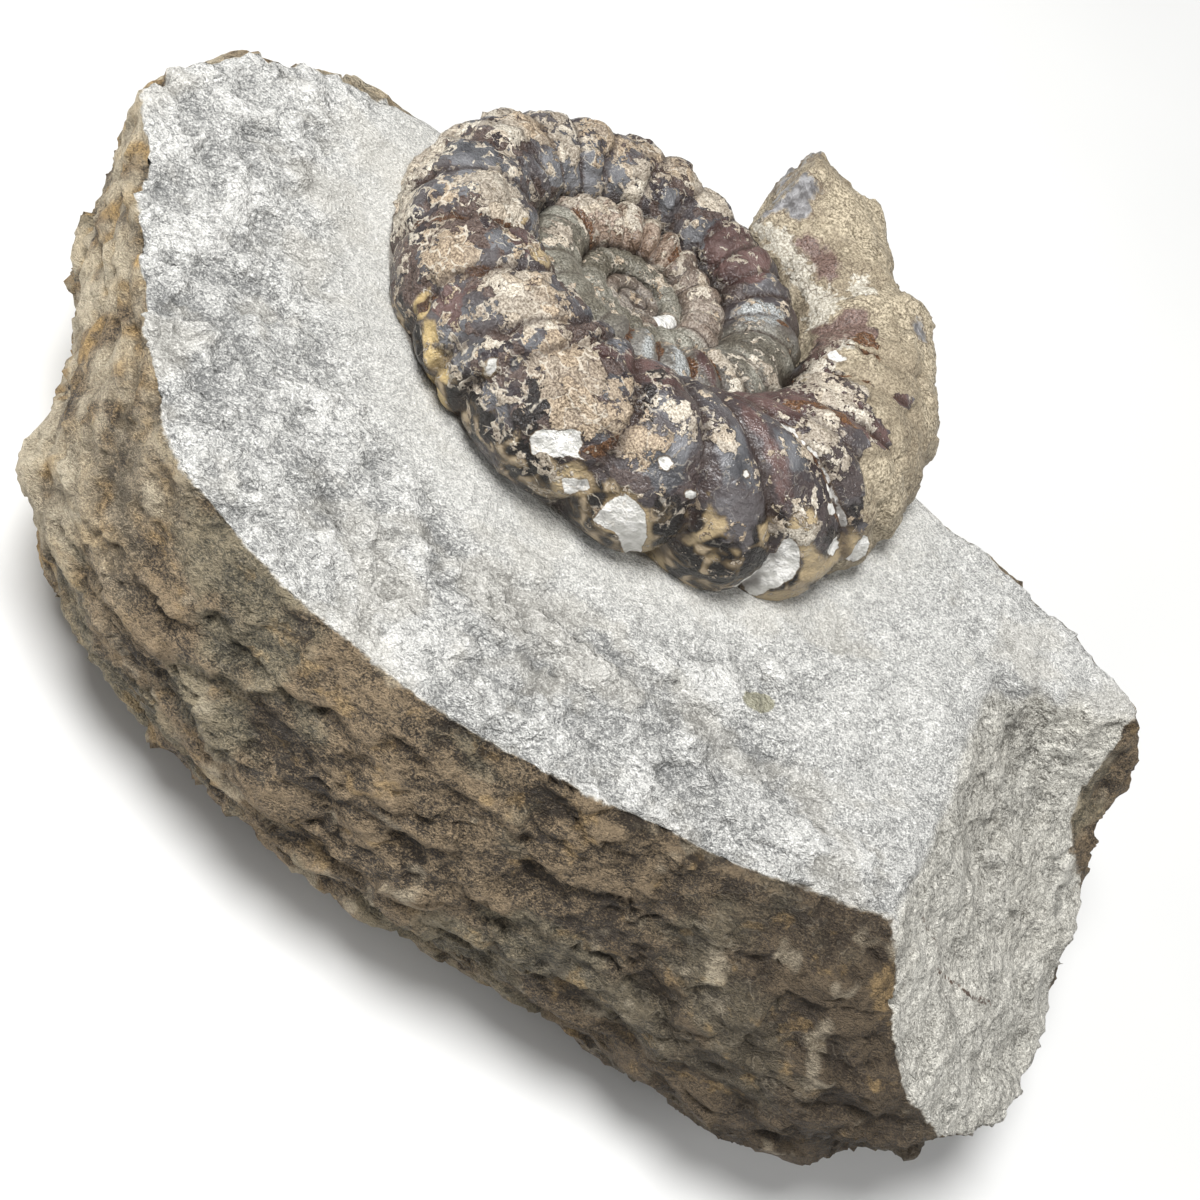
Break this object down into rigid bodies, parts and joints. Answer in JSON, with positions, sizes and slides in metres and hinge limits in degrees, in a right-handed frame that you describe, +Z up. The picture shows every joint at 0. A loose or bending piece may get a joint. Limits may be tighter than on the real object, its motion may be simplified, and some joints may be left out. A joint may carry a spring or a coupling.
{
  "type": "ammonite fossil in its stone",
  "caption": "Ribbed coiled ammonite fossil seated in the grey face of a split stone nodule, which lies on its flat underside.",
  "frame": {"origin": "centre of the bounding box at the flat underside of the stone", "axes": "+X along the long side of the stone, +Y to its far side behind the coil, +Z up, with the split face level at 40 mm"},
  "size_m": [0.137, 0.1024, 0.0554],
  "materials": {
    "grey_stone": "rough weathered mudstone",
    "brown_shell": "glossy fossil shell with tan and white mineral"
  },
  "bodies": {
    "root": {"matrix": "grey_stone", "ammonite": "brown_shell"}
  },
  "joints": []
}
